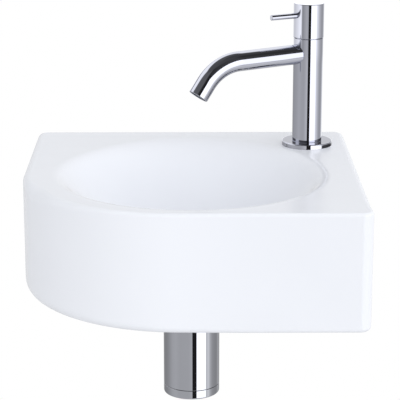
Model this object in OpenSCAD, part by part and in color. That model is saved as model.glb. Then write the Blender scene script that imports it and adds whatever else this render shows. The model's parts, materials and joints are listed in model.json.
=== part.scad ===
// Wall-hung washbasin with a rounded front left quarter, a round bowl,
// a pillar tap in the back right corner, an always-open waste and a bottle trap.
// Millimetres. +Z up, +Y into the wall, front towards -Y.
// Origin: on the wall plane, midway between the two wall-fixing holes.

/* [Basin] */
// Width, side to side
basin_w = 300; // [290:1:320]
// Depth, wall to front
basin_d = 300; // [298:1:315]
// Height of the outer wall
basin_h = 104; // [100:1:115]
// Radius of the rounded front left quarter
front_r = 138; // [130:1:142]
// Corner radius at the wall, seen from above
back_corner_r = 10; // [8:0.5:14]
// Corner radius at the front right, seen from above
front_corner_r = 10; // [8:0.5:14]
// Rounding of the top edge
edge_r = 5.5; // [3:0.5:6]
// Rounding of the bottom edge
foot_r = 4; // [2:0.5:5]
// Thickness of the outer wall
wall_t = 12; // [10:0.5:13]
// Thickness of the deck
deck_t = 12; // [10:0.5:14]
// Height of the deck above the wall-fixing holes
deck_z = 50; // [46:1:54]

/* [Bowl] */
// Distance of the bowl's centre from the wall
bowl_y = 167; // [160:1:168]
// Radius where the rolled rim meets the deck
rim_r = 124; // [112:0.5:125]
// Radius of the rolled rim
rim_roll = 7; // [5:0.5:8]
// Slope of the bowl's side wall, degrees from vertical
side_slope = 10; // [6:1:14]
// Depth at which the side starts to curve into the floor
side_depth = 22; // [16:1:24]
// Radius of the curve from side to floor
floor_curve_r = 58; // [50:1:60]
// Fall of the floor towards the drain, degrees
floor_slope = 6; // [4:1:8]
// Thickness of the bowl's shell
shell_t = 10; // [9:0.5:11]

/* [Wall fixing] */
// Spacing of the two fixing holes
fixing_spacing = 200; // [180:1:210]
// Radius of a hole in the ceramic
fixing_hole_r = 8; // [7.5:0.25:9]
// Bore radius of the sleeve in it
sleeve_bore_r = 5.25; // [4.25:0.25:5.5]

/* [Tap] */
// Distance of the tap's axis from the basin's middle
tap_x = 110.6; // [108:0.1:112]
// Distance of the tap's axis from the wall
tap_y = 56.8; // [54:0.1:60]
// Radius of the tap hole in the deck
tap_hole_r = 17.5; // [14:0.5:17.5]
// Radius of the column
column_r = 14; // [13.5:0.1:14.5]
// Height of the column's top shoulder above the deck
column_h = 103.1; // [100:0.1:110]
// Radius of the base plate
plate_r = 23.75; // [21:0.25:25]
// Thickness of the base plate
plate_t = 4.5; // [4:0.1:6]
// Height of the cap's top above the deck
cap_top = 135.7; // [134:0.1:140]
// Radius of the cap
cap_r = 14.35; // [14.2:0.05:14.6]
// Direction of the spout, degrees forward of straight left
spout_turn = 28; // [20:1:45]
// Height of the spout's axis where it leaves the column
spout_z = 88.4; // [86:0.1:89]
// Fall of the spout's straight run, degrees
spout_drop = 1; // [0:0.5:2]
// Outer radius of the spout
spout_r = 9.4; // [9:0.1:9.6]
// Length of the straight run, from the tap's axis
spout_run = 75.5; // [60:0.5:90]
// Bend radius of the spout's axis
spout_bend_r = 43.6; // [38:0.2:55]
// Length of the straight mouth after the bend
mouth_l = 13.5; // [13:0.5:20]
// Radius of the lever pin
lever_r = 2.6; // [2.2:0.1:2.8]
// Reach of the lever pin from the tap's axis
lever_l = 41; // [32:0.5:50]
// Height of the lever pin above the deck
lever_z = 124.7; // [124:0.1:127]

/* [Waste and trap] */
// Radius of the waste hole in the ceramic
waste_hole_r = 22.5; // [22:0.25:23]
// Radius of the waste's flange
flange_r = 31.5; // [30:0.5:32]
// Radius of the trap's body
trap_r = 25.5; // [25:0.5:27]
// Bottom of the trap below the deck
trap_foot = 206.5; // [204:0.5:215]
// Height of the screw-on cup's visible band
cup_h = 8.6; // [8:0.2:10]
// Depth of the outlet's axis below the deck
outlet_z = 143; // [143:0.5:146]
// Radius of the outlet pipe
pipe_r = 16; // [16:0.5:16]
// Length of the outlet pipe beyond the wall plane
pipe_in_wall = 30; // [25:1:60]

/* [Hidden] */
$fn = 96;
eps = 1;

ceramic = [0.95, 0.95, 0.94];
chrome = [0.75, 0.76, 0.78];
brass = [0.78, 0.62, 0.32];
steel = [0.62, 0.63, 0.65];
rubber = [0.10, 0.10, 0.11];
nylon = [0.88, 0.88, 0.86];
grey_nylon = [0.55, 0.57, 0.60];
disc_white = [0.93, 0.91, 0.86];

cx = -basin_w / 2 + front_r;
cy = -basin_d + front_r;
corner_f = front_corner_r;

// bowl section, in a plane through its axis, with z = 0 at the deck
rim_t = [rim_r - rim_roll * cos(side_slope), -rim_roll + rim_roll * sin(side_slope)];
side_end = [rim_t[0] - (side_depth + rim_t[1]) * tan(side_slope), -side_depth];
arc_c = [side_end[0] - floor_curve_r * cos(side_slope), side_end[1] + floor_curve_r * sin(side_slope)];
floor_start = [arc_c[0] + floor_curve_r * sin(floor_slope), arc_c[1] - floor_curve_r * cos(floor_slope)];
seat_r = flange_r + 0.7;
floor_end = [seat_r, floor_start[1] - (floor_start[0] - seat_r) * tan(floor_slope)];
seat_z = floor_end[1] - 3.5;
pad_z = seat_z - 10.6;
pad_r = 38;

// stack of the waste, downwards from the seat
seal_top_t = 1.5;
flange_t = 2.6;
flange_z = seat_z + seal_top_t;
low_seal_t = 4;
slip_t = 1.5;
tail_r = 20.95;
tail_in_r = 18.4;
tail_end = -117;
collar_z = tail_end - 2;
lip_z = collar_z - 2;
union_end = lip_z - 2.4;
union_start = -103.4;
body_top = union_end - 0.6;
cup_seam = -trap_foot + cup_h;
trap_in_r = trap_r - 2;
dip_end = -192;
tube_in_r = pipe_r - 1.2;

// levels of the tap, above the deck
seat_level = 58;
neck_r = 12.2;
neck_top = 110;
chamber_r = 11;
lever_turn = spout_turn;
shank_r = 10.48;
shank_end = -58;
// bend of the spout, the large angle of a 3-4-5 triangle
spout_bend = 53.1301;

module lift() { translate([0, 0, deck_z]) children(); }
module at_tap() { lift() translate([tap_x, -tap_y, 0]) children(); }
module at_drain() { lift() translate([0, -bowl_y, 0]) children(); }
module towards(a) { rotate([0, 0, 180 + a]) children(); }
module along_x() { rotate([0, 90, 0]) children(); }
module along_y() { rotate([-90, 0, 0]) children(); }

module ring(ro, ri, z0, z1) {
  translate([0, 0, z0]) difference() {
    cylinder(r = ro, h = z1 - z0);
    translate([0, 0, -eps]) cylinder(r = ri, h = z1 - z0 + 2 * eps);
  }
}
module disc(r, z0, z1) { translate([0, 0, z0]) cylinder(r = r, h = z1 - z0); }
module torus(major, minor) { rotate_extrude() translate([major, 0]) circle(minor); }
module quarter(r) { intersection() { circle(r); square(r); } }
// half section of a disc with a rounded top edge
module round_half(r, h, e) {
  square([r - e, h]);
  translate([r - e, 0]) square([e, h - e]);
  translate([r - e, h - e]) quarter(e);
}
module hexagon(af, z0, z1) { translate([0, 0, z0]) rotate([0, 0, 30]) cylinder(r = af / 2 / cos(30), h = z1 - z0, $fn = 6); }

// ---- basin ----
// outline of the basin, inset by i, with corner radii rb at the wall and rf at the front right
module plan(i, rb, rf) {
  w = basin_w / 2 - i;
  translate([cx, cy]) rotate(180) quarter(front_r - i);
  translate([-w, cy]) square([2 * w, -cy - i - rb]);
  translate([-w + rb, -i - rb]) square([2 * (w - rb), rb]);
  translate([-w + rb, -i - rb]) rotate(90) quarter(rb);
  translate([w - rb, -i - rb]) quarter(rb);
  translate([cx, -basin_d + i + rf]) square([w - cx, cy + basin_d - i - rf]);
  if (rf > 0) {
    translate([cx, -basin_d + i]) square([w - cx - rf, rf]);
    translate([w - rf, -basin_d + i + rf]) rotate(270) quarter(rf);
  }
}

// quarter-round strip that follows the outline, radius e, corner line at z = 0
module strip(e, p, len, dir) {
  translate([p[0], p[1], 0]) rotate([0, 0, dir]) rotate([90, 0, 0]) linear_extrude(len) quarter(e);
}
module bend(e, c, r, start) {
  translate([c[0], c[1], 0]) rotate([0, 0, start]) rotate_extrude(angle = 90) translate([r - e, 0]) quarter(e);
}
module edge(e) {
  w = basin_w / 2;
  b = back_corner_r;
  f = corner_f;
  strip(e, [-w + e, cy], -cy - b, 180);
  strip(e, [-w + b, -e], 2 * (w - b), 90);
  strip(e, [w - e, -b], basin_d - b - f, 0);
  strip(e, [w - f, -basin_d + e], w - f - cx, 270);
  bend(e, [cx, cy], front_r, 180);
  bend(e, [-w + b, -b], b, 90);
  bend(e, [w - b, -b], b, 0);
  bend(e, [w - f, -basin_d + f], f, 270);
}
module outer() {
  linear_extrude(basin_h - edge_r - foot_r) plan(0, back_corner_r, corner_f);
}

// points of an arc about c, from angle a0 to a1 in n steps
function arc_pts(c, r, a0, a1, n) = [for (k = [0 : n]) c + r * [cos(a0 + (a1 - a0) * k / n), sin(a0 + (a1 - a0) * k / n)]];

// bowl section grown outwards by o: rolled rim, side, curve and floor
module bowl_section(o, top) {
  t1 = rim_t + o * [cos(side_slope), -sin(side_slope)];
  r_top = t1[0] + (top - t1[1]) * tan(side_slope);
  p2 = arc_c + (floor_curve_r + o) * [sin(floor_slope), -cos(floor_slope)];
  p3 = [seat_r, p2[1] - (p2[0] - seat_r) * tan(floor_slope)];
  rim = (o == 0) ? concat([[rim_r, top]], arc_pts([rim_r, -rim_roll], rim_roll, 90, 180 - side_slope, 7)) : [[r_top, top]];
  polygon(concat([[0, top]], rim, arc_pts(arc_c, floor_curve_r + o, -side_slope, -90 + floor_slope, 16), [p3, [0, p3[1]]]));
}

module basin() {
  color(ceramic) difference() {
    lift() union() {
      translate([0, 0, -basin_h + foot_r]) outer();
      translate([0, 0, -edge_r]) linear_extrude(edge_r) plan(edge_r, back_corner_r - edge_r, corner_f - edge_r);
      translate([0, 0, -edge_r]) edge(edge_r);
      translate([0, 0, -basin_h]) linear_extrude(foot_r) plan(foot_r, back_corner_r - foot_r, corner_f - foot_r);
      translate([0, 0, -basin_h + foot_r]) mirror([0, 0, 1]) edge(foot_r);
    }
    // open underside around the bowl's shell
    difference() {
      lift() translate([0, 0, -basin_h - eps]) linear_extrude(basin_h - deck_t + eps) plan(wall_t, 8, 8);
      at_drain() rotate_extrude() bowl_section(shell_t, -deck_t + 2);
      at_drain() disc(pad_r, pad_z, seat_z + 2);
    }
    at_drain() rotate_extrude() bowl_section(0, eps);
    at_drain() disc(seat_r, seat_z, floor_end[1] + eps);
    at_drain() disc(waste_hole_r, pad_z - eps, seat_z + eps);
    at_tap() disc(tap_hole_r, -deck_t - eps, eps);
    for (s = [-1, 1]) translate([s * fixing_spacing / 2, -wall_t - eps, 0]) along_y() cylinder(r = fixing_hole_r, h = wall_t + 2 * eps);
  }
}

module wall_sleeves() {
  color(nylon) for (s = [-1, 1]) translate([s * fixing_spacing / 2, 0, 0]) rotate([90, 0, 0]) difference() {
    union() {
      cylinder(r = fixing_hole_r, h = wall_t);
      disc(13, wall_t, wall_t + 2.5);
    }
    translate([0, 0, -eps]) cylinder(r = sleeve_bore_r, h = wall_t + 2.5 + 2 * eps);
  }
}

// ---- tap ----
module tap_plate() {
  color(chrome) at_tap() rotate_extrude() difference() {
    round_half(plate_r, plate_t, 0.8);
    translate([-eps, -eps]) square([shank_r + 0.12 + eps, plate_t + 2 * eps]);
    translate([17.9, -eps]) square([3.2, 2.2 + eps]);
  }
}

module tap_plate_seal() {
  color(rubber) at_tap() rotate_extrude() translate([18.3, 0]) square([2.4, 2.2]);
}

module spout_frame() { at_tap() translate([0, 0, spout_z]) towards(spout_turn) rotate([0, spout_drop, 0]) children(); }
module mouth_frame() {
  spout_frame() translate([spout_run, 0, -spout_bend_r]) rotate([0, spout_bend, 0]) translate([0, 0, spout_bend_r]) children();
}
module spout_path(r, start, over) {
  spout_frame() union() {
    translate([start, 0, 0]) along_x() cylinder(r = r, h = spout_run - start);
    translate([spout_run, 0, -spout_bend_r]) {
      rotate([0, -90, 0]) rotate([-90, 0, 0]) rotate_extrude(angle = spout_bend + 0.0001) translate([spout_bend_r, 0]) circle(r);
      rotate([0, spout_bend, 0]) translate([0, 0, spout_bend_r]) along_x() cylinder(r = r, h = mouth_l + over);
    }
  }
}

module tap_column() {
  color(chrome) difference() {
    at_tap() union() {
      disc(column_r, plate_t, column_h);
      disc(neck_r, column_h, neck_top);
    }
    at_tap() disc(shank_r, plate_t - eps, 22);
    at_tap() disc(6.5, 20, seat_level + eps);
    at_tap() disc(chamber_r, seat_level, neck_top + eps);
    spout_frame() along_x() cylinder(r = spout_r, h = 2 * column_r);
  }
}

module tap_spout() {
  color(chrome) difference() {
    spout_path(spout_r, 0, 0);
    spout_path(7.4, -eps, eps);
    mouth_frame() translate([mouth_l - 9, 0, 0]) along_x() cylinder(r = 8.4, h = 9 + eps);
    at_tap() disc(chamber_r, 70, 105);
  }
}

module aerator() {
  color(grey_nylon) mouth_frame() translate([mouth_l - 7.4, 0, 0]) along_x() difference() {
    cylinder(r = 8.4, h = 6.2);
    disc(7.2, 2.2, 6.2 + eps);
    for (k = [0 : 5]) rotate([0, 0, 60 * k]) translate([4.9, 0, -eps]) cylinder(r = 1.3, h = 4);
    translate([0, 0, -eps]) cylinder(r = 1.3, h = 4);
  }
}

module aerator_washer() {
  color(rubber) mouth_frame() translate([mouth_l - 9, 0, 0]) along_x() ring(8.4, 6.6, 0, 1.6);
}

module tap_shank() {
  color(brass) at_tap() difference() {
    union() {
      disc(shank_r, -36, 20);
      disc(shank_r - 0.9, -38.5, -35.5);
      disc(shank_r, shank_end + 1, -38);
      translate([0, 0, shank_end]) cylinder(r1 = shank_r - 1, r2 = shank_r, h = 1);
    }
    disc(6, shank_end - eps, 20 + eps);
  }
}

module tap_rubber_washer() { color(rubber) at_tap() ring(22, shank_r + 0.2, -deck_t - 3, -deck_t); }
module tap_steel_washer() { color(steel) at_tap() ring(21.5, shank_r + 0.2, -deck_t - 4.6, -deck_t - 3); }
module tap_backnut() {
  color(brass) at_tap() difference() {
    union() {
      hexagon(29, -deck_t - 12.6, -deck_t - 5.4);
      disc(15.5, -deck_t - 5.6, -deck_t - 4.6);
    }
    disc(shank_r, -deck_t - 13.6, -deck_t - 4);
  }
}

module valve_housing() {
  color(brass) at_tap() difference() {
    union() {
      disc(chamber_r, 61.5, 68.5);
      disc(9.4, 68, 94);
      disc(chamber_r, 93.5, neck_top);
      hexagon(18, neck_top, neck_top + 3);
    }
    ring(chamber_r + eps, 9.4, 94.8, 96.8);
    disc(7.6, 60, 77);
    disc(4.1, 76, neck_top + 4);
    for (a = [90, 270]) rotate([0, 0, a]) translate([0, -3.5, 70]) cube([12, 7, 6.5]);
  }
}

module housing_ring() { color(rubber) at_tap() translate([0, 0, 95.8]) torus(chamber_r - 0.8, 0.8); }
module valve_seat_seal() { color(rubber) at_tap() ring(9.4, 6.6, seat_level, 61.5); }
module valve_fixed_disc() {
  color(disc_white) at_tap() difference() {
    disc(7.6, 61.5, 65.3);
    for (a = [0, 180]) rotate([0, 0, a]) translate([4.6, 0, 60]) cylinder(r = 1.9, h = 7);
  }
}
module valve_turning_disc() {
  color(disc_white) at_tap() difference() {
    disc(7.54, 65.35, 69.2);
    for (a = [90, 270]) rotate([0, 0, a]) translate([4.6, 0, 64]) cylinder(r = 1.9, h = 7);
  }
}
module valve_spindle() {
  color(brass) at_tap() difference() {
    union() {
      disc(4.04, 71.5, 119.6);
      intersection() {
        disc(7.3, 69.2, 72);
        translate([-9, -2.4, 69]) cube([18, 4.8, 4]);
      }
    }
    for (z = [86, 91]) ring(5, 2.9, z - 0.7, z + 0.7);
  }
}
module spindle_rings() { color(rubber) at_tap() for (z = [86, 91]) translate([0, 0, z]) torus(3.46, 0.54); }
module glide_ring() { color(nylon) at_tap() ring(12.85, neck_r, 104.4, 109.4); }

module handle_cap() {
  color(chrome) difference() {
    at_tap() translate([0, 0, column_h + 0.6]) rotate_extrude() round_half(cap_r, cap_top - column_h - 0.6, 0.6);
    at_tap() disc(12.9, column_h - eps, 114.2);
    at_tap() disc(4.04, 113, 120.2);
    at_tap() translate([0, 0, lever_z]) towards(lever_turn) translate([7, 0, 0]) along_x() cylinder(r = lever_r, h = 12);
    at_tap() translate([0, 0, 117.6]) towards(lever_turn + 180) translate([4, 0, 0]) along_x() cylinder(r = 2, h = 14);
  }
}

module lever_pin() {
  color(chrome) at_tap() translate([0, 0, lever_z]) towards(lever_turn) along_x() {
    disc(lever_r, 7, lever_l - 0.4);
    translate([0, 0, lever_l - 0.4]) cylinder(r1 = lever_r, r2 = lever_r - 0.4, h = 0.4);
  }
}

module grub_screw() {
  color(steel) at_tap() translate([0, 0, 117.6]) towards(lever_turn + 180) along_x() difference() {
    disc(2, 4.05, 12.4);
    hexagon(2, 10, 13);
  }
}

// ---- waste ----
module waste_body() {
  color(chrome) at_drain() difference() {
    union() {
      translate([0, 0, flange_z]) rotate_extrude() round_half(flange_r, flange_t, 0.8);
      disc(tail_r, tail_end, flange_z + 0.5);
    }
    disc(22, flange_z + flange_t - 1.6, flange_z + 6);
    difference() {
      disc(tail_in_r, tail_end - eps, flange_z + 6);
      disc(4.6, flange_z - 15, flange_z - 7);
      for (a = [0, 120, 240]) rotate([0, 0, a]) translate([0, -1.5, flange_z - 15]) cube([20, 3, 8]);
    }
    disc(2.1, flange_z - 16, flange_z);
  }
}
module waste_grid() {
  color(chrome) at_drain() difference() {
    disc(21.95, flange_z + flange_t - 1.6, flange_z + flange_t + 0.2);
    for (k = [0 : 5]) rotate([0, 0, 60 * k]) translate([8.2, 0, flange_z]) cylinder(r = 2.2, h = 6);
    for (k = [0 : 11]) rotate([0, 0, 30 * k + 15]) translate([14.6, 0, flange_z]) cylinder(r = 2.6, h = 6);
    translate([0, 0, flange_z]) cylinder(r = 2.6, h = 6);
    translate([0, 0, flange_z + flange_t - 1.4]) cylinder(r1 = 2.6, r2 = 4.4, h = 1.7);
  }
}
module waste_screw() {
  color(steel) at_drain() difference() {
    union() {
      translate([0, 0, flange_z + flange_t - 1.4]) cylinder(r1 = 2.5, r2 = 4.1, h = 1.6);
      disc(2.1, flange_z - 14, flange_z + flange_t - 1.2);
    }
    translate([-0.5, -5, flange_z + flange_t - 0.6]) cube([1, 10, 2]);
    translate([-5, -0.5, flange_z + flange_t - 0.6]) cube([10, 1, 2]);
  }
}
module waste_top_seal() { color(rubber) at_drain() ring(30.5, tail_r + 0.1, seat_z, flange_z); }
module waste_low_seal() { color(rubber) at_drain() ring(31, tail_r + 0.1, pad_z - low_seal_t, pad_z); }
module waste_slip_washer() { color(nylon) at_drain() ring(30, tail_r + 0.1, pad_z - low_seal_t - slip_t, pad_z - low_seal_t); }
module waste_backnut() {
  z1 = pad_z - low_seal_t - slip_t;
  color(brass) at_drain() difference() {
    union() {
      hexagon(50, z1 - 8, z1 - 1.2);
      disc(27.5, z1 - 1.4, z1);
    }
    disc(tail_r, z1 - 9, z1 + eps);
  }
}

// ---- trap ----
module trap_union_nut() {
  color(chrome) at_drain() difference() {
    rotate_extrude() difference() {
      translate([0, union_end]) square([trap_r, union_start - union_end]);
      translate([trap_r, union_start]) rotate(45) square(1, center = true);
      translate([-eps, lip_z]) square([tail_r + eps, 40]);
      translate([-eps, union_end - eps]) square([pipe_r + 0.15 + eps, 10]);
    }
    for (k = [0 : 23]) rotate([0, 0, 15 * k]) translate([trap_r + 0.5, 0, union_end + 3]) cylinder(r = 1.1, h = 11);
  }
}
module trap_union_washer() { color(rubber) at_drain() ring(20.5, pipe_r - 0.5, collar_z, tail_end); }
module trap_inlet_tube() {
  color(chrome) at_drain() difference() {
    union() {
      disc(20.5, lip_z, collar_z);
      disc(pipe_r, dip_end, lip_z + eps);
    }
    disc(tube_in_r, dip_end - eps, collar_z + eps);
  }
}
module trap_body() {
  color(chrome) at_drain() difference() {
    union() {
      rotate_extrude() difference() {
        translate([0, cup_seam]) square([trap_r, body_top - cup_seam]);
        translate([trap_r, body_top]) rotate(45) square(1, center = true);
        translate([trap_r, cup_seam]) rotate(45) square(0.5, center = true);
      }
      translate([0, 0, -outlet_z]) along_y() cylinder(r = 19, h = 39.5);
    }
    disc(trap_in_r, cup_seam - eps, body_top - 3);
    disc(pipe_r, body_top - 4, body_top + eps);
    translate([0, 0, -outlet_z]) along_y() cylinder(r = 14.4, h = 60);
    translate([0, 27.5, -outlet_z]) along_y() cylinder(r = pipe_r + 0.12, h = 60);
  }
}
module trap_cup() {
  color(chrome) at_drain() rotate_extrude() difference() {
    union() {
      translate([0, cup_seam - 0.3]) mirror([0, 1]) round_half(trap_r, cup_h - 0.3, 1.5);
      translate([0, cup_seam - 0.3]) square([trap_in_r - 0.08, 13]);
    }
    translate([-eps, -trap_foot + 3]) square([trap_in_r - 3.3 + eps, 60]);
    translate([trap_in_r - 1.9, cup_seam + 2]) square([4, 2.2]);
  }
}
module trap_cup_ring() { color(rubber) at_drain() translate([0, 0, cup_seam + 3.1]) torus(trap_in_r - 1, 0.9); }

module at_outlet() { at_drain() translate([0, 0, -outlet_z]) along_y() children(); }
module outlet_washer() {
  color(rubber) at_outlet() rotate_extrude() polygon([[pipe_r, 39.5], [18.9, 39.5], [18.9, 41], [17.4, 44], [pipe_r, 44]]);
}
module outlet_nut() {
  color(chrome) at_outlet() difference() {
    rotate_extrude() difference() {
      translate([0, 29]) square([22.5, 18.5]);
      translate([22.5, 47.5]) rotate(45) square(1.4, center = true);
      translate([22.5, 29]) rotate(45) square(1.4, center = true);
      translate([-eps, 28]) square([19 + eps, 13]);
      polygon([[-1, 40.9], [19, 40.9], [17.4, 44.1], [-1, 44.1]]);
      translate([-eps, 44]) square([pipe_r + 0.15 + eps, 10]);
    }
    for (k = [0 : 15]) rotate([0, 0, 22.5 * k]) translate([23.1, 0, 33]) cylinder(r = 1.4, h = 10.5);
  }
}
module outlet_pipe() {
  l = bowl_y + pipe_in_wall;
  color(chrome) at_outlet() difference() {
    union() {
      disc(pipe_r, 27.5, bowl_y + 2);
      disc(pipe_r - 0.4, bowl_y + 1, bowl_y + 4);
      disc(pipe_r, bowl_y + 3, l);
    }
    disc(pipe_r - 1.2, 26, l + eps);
  }
}
module wall_rosette() {
  // half section: foot at the wall, sloping dish, neck with a groove for its ring
  color(chrome) at_outlet() translate([0, 0, bowl_y]) rotate_extrude() difference() {
    polygon([[34, 0], [34, -2], [33.2, -2.6], [22, -12.4], [20, -13], [19.4, -15], [pipe_r + 0.4, -15],
      [pipe_r + 0.4, -11.4], [21.2, -11.2], [31.9, -1.8], [32, 0]]);
    translate([pipe_r - 1, -14.2]) square([2.4, 2]);
  }
}
module rosette_ring() { color(rubber) at_outlet() translate([0, 0, bowl_y - 13.2]) torus(pipe_r + 0.7, 0.7); }

basin();
wall_sleeves();
tap_plate();
tap_plate_seal();
tap_column();
tap_spout();
tap_shank();
tap_rubber_washer();
tap_steel_washer();
tap_backnut();
aerator();
aerator_washer();
valve_housing();
valve_seat_seal();
valve_fixed_disc();
valve_turning_disc();
valve_spindle();
spindle_rings();
housing_ring();
glide_ring();
handle_cap();
lever_pin();
grub_screw();
waste_body();
waste_grid();
waste_screw();
waste_top_seal();
waste_low_seal();
waste_slip_washer();
waste_backnut();
trap_union_nut();
trap_union_washer();
trap_inlet_tube();
trap_body();
trap_cup();
trap_cup_ring();
outlet_nut();
outlet_washer();
outlet_pipe();
wall_rosette();
rosette_ring();
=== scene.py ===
import json
import math

import bmesh
import bpy
import numpy as np
from mathutils import Matrix, Vector

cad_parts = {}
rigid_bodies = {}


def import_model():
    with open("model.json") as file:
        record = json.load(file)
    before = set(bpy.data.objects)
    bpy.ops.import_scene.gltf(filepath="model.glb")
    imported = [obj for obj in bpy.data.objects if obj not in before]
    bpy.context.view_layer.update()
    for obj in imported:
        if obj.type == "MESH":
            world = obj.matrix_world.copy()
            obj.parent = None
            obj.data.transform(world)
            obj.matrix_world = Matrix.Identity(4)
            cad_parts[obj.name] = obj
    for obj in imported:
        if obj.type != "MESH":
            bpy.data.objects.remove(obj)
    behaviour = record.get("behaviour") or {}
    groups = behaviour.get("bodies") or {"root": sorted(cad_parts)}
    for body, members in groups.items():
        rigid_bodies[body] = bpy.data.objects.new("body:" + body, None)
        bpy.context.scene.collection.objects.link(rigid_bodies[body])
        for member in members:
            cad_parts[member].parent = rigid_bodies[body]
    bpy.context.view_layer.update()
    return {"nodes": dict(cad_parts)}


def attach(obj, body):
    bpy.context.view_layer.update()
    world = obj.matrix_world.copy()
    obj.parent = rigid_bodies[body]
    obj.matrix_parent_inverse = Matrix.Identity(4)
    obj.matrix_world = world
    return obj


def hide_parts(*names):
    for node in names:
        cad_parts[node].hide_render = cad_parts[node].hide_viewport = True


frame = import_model()
NODES = frame["nodes"]
ROOT, HANDLE, CUP = "basin_assembly", "handle", "cup"

# ---------------------------------------------------------------------------
# places, in millimetres of the row frame (the deck is 50 above the origin)
# ---------------------------------------------------------------------------
DECK = 50.0
rad = math.radians


def move(x, y, z):
    return Matrix.Translation((x, y, z))


def turn(deg, axis):
    return Matrix.Rotation(rad(deg), 4, axis)


AT_TAP = move(110.6, -56.8, DECK)
AT_DRAIN = move(0, -167.0, DECK)
AT_OUTLET = AT_DRAIN @ move(0, 0, -143.0) @ turn(-90, "X")
SPOUT = AT_TAP @ move(0, 0, 88.4) @ turn(180 + 28, "Z") @ turn(1, "Y")
RUN, BEND_R, BEND_A, MOUTH_L = 75.5, 43.6, 53.1301, 13.5
MOUTH = SPOUT @ move(RUN, 0, -BEND_R) @ turn(BEND_A, "Y") @ move(0, 0, BEND_R) @ turn(90, "Y")
LEVER = AT_TAP @ move(0, 0, 124.7) @ turn(180 + 28, "Z") @ turn(90, "Y")
GRUB = AT_TAP @ move(0, 0, 117.6) @ turn(28, "Z") @ turn(90, "Y")


# ---------------------------------------------------------------------------
# mesh tools
# ---------------------------------------------------------------------------
def section(points, closed=True, n=6, hold=0.3):
    """(r, z) or (r, z, fillet) corners to a section with rounded corners, and a point close
    to each rounding on the straight runs, so that the runs keep their own shading."""
    pts = [tuple(p) + (0.0,) * (3 - len(p)) for p in points]
    count = len(pts)
    groups = []
    for i, (x, y, f) in enumerate(pts):
        p = np.array([x, y])
        if f <= 0 or (not closed and i in (0, count - 1)):
            groups.append(([p], False))
            continue
        a = np.array(pts[i - 1][:2])
        b = np.array(pts[(i + 1) % count][:2])
        u, v = p - a, b - p
        lu, lv = np.linalg.norm(u), np.linalg.norm(v)
        u, v = u / lu, v / lv
        cross = u[0] * v[1] - u[1] * v[0]
        ang = math.atan2(cross, float(u @ v))
        if abs(ang) < 1e-4:
            groups.append(([p], False))
            continue
        t = min(f * math.tan(abs(ang) / 2), 0.49 * lu, 0.49 * lv)
        r = t / math.tan(abs(ang) / 2)
        s = 1.0 if ang > 0 else -1.0
        start = p - t * u
        c = start + s * r * np.array([-u[1], u[0]])
        w = start - c
        arc = []
        for k in range(n + 1):
            q = ang * k / n
            arc.append(c + np.array([w[0] * math.cos(q) - w[1] * math.sin(q), w[0] * math.sin(q) + w[1] * math.cos(q)]))
        groups.append((arc, True))
    out = []
    for i, (arc, soft) in enumerate(groups):
        out.extend(arc)
        if i == count - 1 and not closed:
            break
        nxt, nsoft = groups[(i + 1) % count]
        a, b = arc[-1], nxt[0]
        length = np.linalg.norm(b - a)
        if length > 4 * hold:
            if soft:
                out.append(a + (b - a) * hold / length)
            if nsoft:
                out.append(b - (b - a) * hold / length)
    return np.array(out)


def run_of(r, z0, z1, step):
    """Close rows along a straight run, for a thread."""
    n = max(2, int(round(abs(z1 - z0) / step)))
    return [(r, z0 + (z1 - z0) * k / n) for k in range(n + 1)]


def grid_faces(rows, cols, wrap_rows, wrap_cols):
    faces = []
    for k in range(rows if wrap_rows else rows - 1):
        a, b = k * cols, ((k + 1) % rows) * cols
        for s in range(cols if wrap_cols else cols - 1):
            t = (s + 1) % cols
            faces.append((a + s, a + t, b + t, b + s))
    return faces


def lathe(prof, seg=128, closed=True, mod=None, turn_by=0.0):
    prof = np.asarray(prof, float)
    th = np.arange(seg) * 2 * math.pi / seg + turn_by
    verts = []
    for r, z in prof:
        rr = np.full(seg, r) if mod is None else mod(th, r, z)
        verts.append(np.stack([rr * np.cos(th), rr * np.sin(th), np.full(seg, z)], 1))
    return np.concatenate(verts), grid_faces(len(prof), seg, closed, True)


def join(*parts):
    verts, faces, base = [], [], 0
    for v, f in parts:
        verts.append(np.asarray(v, float))
        faces += [tuple(i + base for i in q) for q in f]
        base += len(v)
    return np.concatenate(verts), faces


def placed(part, matrix):
    v, f = part
    m = np.array(matrix)
    return v @ m[:3, :3].T + m[:3, 3], f


def mesh_object(name, part, angle=32, weld=2e-7, mats=(), index=None):
    verts, faces = part
    me = bpy.data.meshes.new(name)
    me.from_pydata((np.asarray(verts) * 0.001).tolist(), [], faces)
    for m in mats:
        me.materials.append(m)
    if index is not None:
        me.polygons.foreach_set("material_index", list(index))
    bm = bmesh.new()
    bm.from_mesh(me)
    bmesh.ops.remove_doubles(bm, verts=bm.verts, dist=weld)
    bmesh.ops.dissolve_degenerate(bm, edges=bm.edges, dist=weld)
    loose = [v for v in bm.verts if not v.link_faces]
    bmesh.ops.delete(bm, geom=loose, context="VERTS")
    bmesh.ops.recalc_face_normals(bm, faces=bm.faces)
    bm.to_mesh(me)
    bm.free()
    o = bpy.data.objects.new(name, me)
    bpy.context.scene.collection.objects.link(o)
    shade(o, angle)
    return o


def shade(o, angle=32):
    me = o.data
    me.polygons.foreach_set("use_smooth", [True] * len(me.polygons))
    me.set_sharp_from_angle(angle=rad(angle))


def cut(o, cutters, angle=32):
    for c in cutters:
        m = o.modifiers.new("cut", "BOOLEAN")
        m.operation, m.object, m.solver = "DIFFERENCE", c, "EXACT"
    dg = bpy.context.evaluated_depsgraph_get()
    me = bpy.data.meshes.new_from_object(o.evaluated_get(dg))
    old = o.data
    o.modifiers.clear()
    o.data = me
    me.name = o.name
    bpy.data.meshes.remove(old)
    for c in cutters:
        bpy.data.objects.remove(c)
    shade(o, angle)


def finish_piece(o, body, slot, material, *nodes):
    if material is not None:
        o.data.materials.clear()
        o.data.materials.append(material)
    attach(o, body)
    if nodes:
        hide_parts(*nodes)
    return o


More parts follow.
